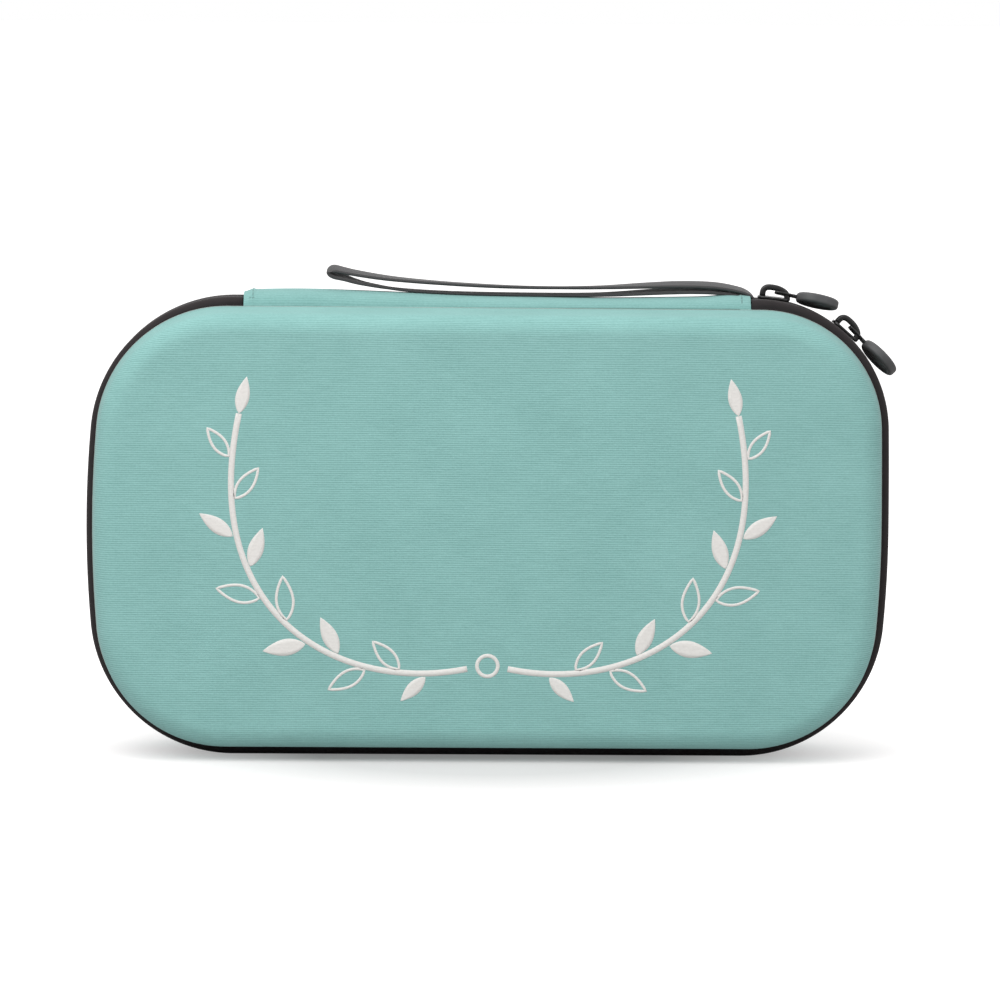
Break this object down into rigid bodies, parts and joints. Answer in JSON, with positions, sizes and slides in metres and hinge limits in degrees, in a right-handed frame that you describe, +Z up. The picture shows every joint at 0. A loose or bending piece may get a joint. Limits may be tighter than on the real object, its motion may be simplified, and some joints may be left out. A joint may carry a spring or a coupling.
{
  "type": "stethoscope hard case",
  "caption": "Standing hard-shell stethoscope case with a fabric spine, a two-slider zip round three sides, a wrist strap, a lid pocket and a tube strap.",
  "frame": {"origin": "middle of the long side of the zip band that the case stands on", "axes": "+X along the case's length towards the sliders, +Y from the lid to the base, +Z up to the spine"},
  "size_m": [0.2826, 0.062, 0.1705],
  "materials": {
    "teal_fabric": "woven, matte",
    "foam_board": "moulded foam, matte",
    "lining_fabric": "knitted velvet, matte",
    "zip_tape": "woven tape, matte",
    "zip_coil": "satin nylon coil",
    "binding_fabric": "ribbed tape",
    "slider_metal": "black lacquer, satin",
    "pull_rubber": "moulded, matte",
    "wrist_webbing": "ribbed webbing",
    "pocket_mesh": "open knitted mesh",
    "elastic_tape": "ribbed elastic",
    "hook_tape": "hook and loop pile"
  },
  "bodies": {
    "base": {"base_cover": "teal_fabric", "base_core": "foam_board", "base_lining": "lining_fabric", "base_zip_tape": "zip_tape", "base_zip_tape_corner": "zip_tape", "base_zip_coil": "zip_coil", "base_zip_coil_corner": "zip_coil", "base_binding": "binding_fabric", "base_spine_flange": "zip_tape", "tube_strap_lower": "elastic_tape", "tube_strap_upper": "elastic_tape", "tube_strap_loop_patch": "hook_tape", "tube_strap_hook_patch": "hook_tape"},
    "spine": {"spine_cover": "teal_fabric", "spine_liner": "lining_fabric"},
    "lid": {"lid_cover": "teal_fabric", "lid_core": "foam_board", "lid_lining": "lining_fabric", "lid_zip_tape": "zip_tape", "lid_zip_tape_corner": "zip_tape", "lid_zip_coil": "zip_coil", "lid_zip_coil_corner": "zip_coil", "lid_binding": "binding_fabric", "lid_spine_flange": "zip_tape", "lid_mesh_pocket": "pocket_mesh", "lid_pocket_band": "elastic_tape"},
    "slider_1": {"slider_1_body": "slider_metal", "slider_1_bridge": "slider_metal"},
    "slider_2": {"slider_2_body": "slider_metal", "slider_2_bridge": "slider_metal"},
    "pull_1": {"pull_1_link": "slider_metal", "pull_1_disc": "pull_rubber"},
    "pull_2": {"pull_2_link": "slider_metal", "pull_2_disc": "pull_rubber"},
    "strap": {"wrist_strap": "wrist_webbing"}
  },
  "joints": [
    {"name": "lid_fold", "type": "hinge", "parent": "spine", "child": "lid", "pos_m": [0, -0.009, 0.1601], "axis": [-1, 0, 0], "range_deg": [0, 90], "deforming": ["lid_zip_tape_corner", "lid_zip_coil_corner"]},
    {"name": "spine_fold", "type": "hinge", "parent": "base", "child": "spine", "pos_m": [0, 0.009, 0.1601], "axis": [-1, 0, 0], "range_deg": [0, 90]},
    {"name": "slider_1_travel", "type": "hinge", "parent": "base", "child": "slider_1", "pos_m": [0.0937, 0, 0.114], "axis": [0, 1, 0], "range_deg": [-1, 2], "deforming": ["base_zip_tape_corner", "base_zip_coil_corner", "lid_zip_tape_corner", "lid_zip_coil_corner"]},
    {"name": "slider_2_travel", "type": "hinge", "parent": "base", "child": "slider_2", "pos_m": [0.0937, 0, 0.114], "axis": [0, 1, 0], "range_deg": [-1.5, 40], "deforming": ["base_zip_tape_corner", "base_zip_coil_corner", "lid_zip_tape_corner", "lid_zip_coil_corner"]},
    {"name": "pull_1_swing", "type": "hinge", "parent": "slider_1", "child": "pull_1", "pos_m": [0.10064, 0, 0.16211], "axis": [0, -1, 0], "range_deg": [0, 60]},
    {"name": "pull_2_swing", "type": "hinge", "parent": "slider_2", "child": "pull_2", "pos_m": [0.12604, 0, 0.15029], "axis": [0, -1, 0], "range_deg": [0, 60]},
    {"name": "strap_swing", "type": "hinge", "parent": "spine", "child": "strap", "pos_m": [0.0916, 0, 0.1603], "axis": [0, 1, 0], "range_deg": [0, 60]}
  ],
  "couplings": [
    {"joint": "spine_fold", "follows": "lid_fold", "ratio": 1}
  ]
}
